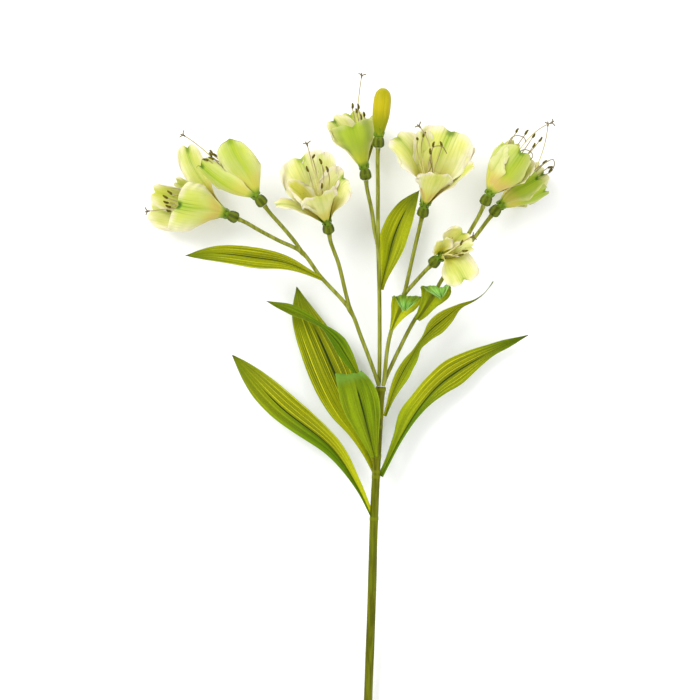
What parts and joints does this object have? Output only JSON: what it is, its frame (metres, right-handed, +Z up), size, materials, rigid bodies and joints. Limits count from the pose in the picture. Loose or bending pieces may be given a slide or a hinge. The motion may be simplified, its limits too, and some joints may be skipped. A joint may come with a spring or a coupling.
{
  "type": "alstroemeria stem",
  "caption": "Cut alstroemeria stem laid down, with slender leaves, forked rays, open lily-like flowers with stamens and a closed bud.",
  "frame": {"origin": "middle of the footprint, on the table that the stem lies on", "axes": "+Y along the stem from its cut end towards the flowers, +X to the right seen from above, +Z up from the table"},
  "size_m": [0.3288, 0.5987, 0.0833],
  "materials": {
    "stem": "smooth green plant stem",
    "leaf": "thin waxy leaf with lengthwise veins",
    "ovary": "ribbed waxy green",
    "tepal": "soft matt petal, pale yellow-green with cream margins",
    "stamen": "matt threads with brown anthers",
    "bud": "soft waxy olive-yellow"
  },
  "bodies": {
    "root": {"stem": "stem", "ray_left": "stem", "ray_centre": "stem", "ray_right_inner": "stem", "ray_right_outer": "stem", "leaf_low_left": "leaf", "leaf_left_back": "leaf", "leaf_front": "leaf", "leaf_left_twisted": "leaf", "leaf_right_twisted": "leaf", "leaf_low_right": "leaf", "leaf_centre_ray": "leaf", "leaf_left_ray": "leaf", "leaf_curled_inner": "leaf", "leaf_curled_outer": "leaf", "flower_a_ovary": "ovary", "flower_a_tepals": "tepal", "flower_a_stamens": "stamen", "flower_b_ovary": "ovary", "flower_b_tepals": "tepal", "flower_b_stamens": "stamen", "flower_c_ovary": "ovary", "flower_c_tepals": "tepal", "flower_c_stamens": "stamen", "flower_d_ovary": "ovary", "flower_d_tepals": "tepal", "flower_d_stamens": "stamen", "flower_f_ovary": "ovary", "flower_f_tepals": "tepal", "flower_f_stamens": "stamen", "flower_g_ovary": "ovary", "flower_g_tepals": "tepal", "flower_g_stamens": "stamen", "flower_h_ovary": "ovary", "flower_h_tepals": "tepal", "flower_h_stamens": "stamen", "flower_i_ovary": "ovary", "flower_i_tepals": "tepal", "flower_i_stamens": "stamen", "bud_ovary": "ovary", "bud": "bud"}
  },
  "joints": []
}
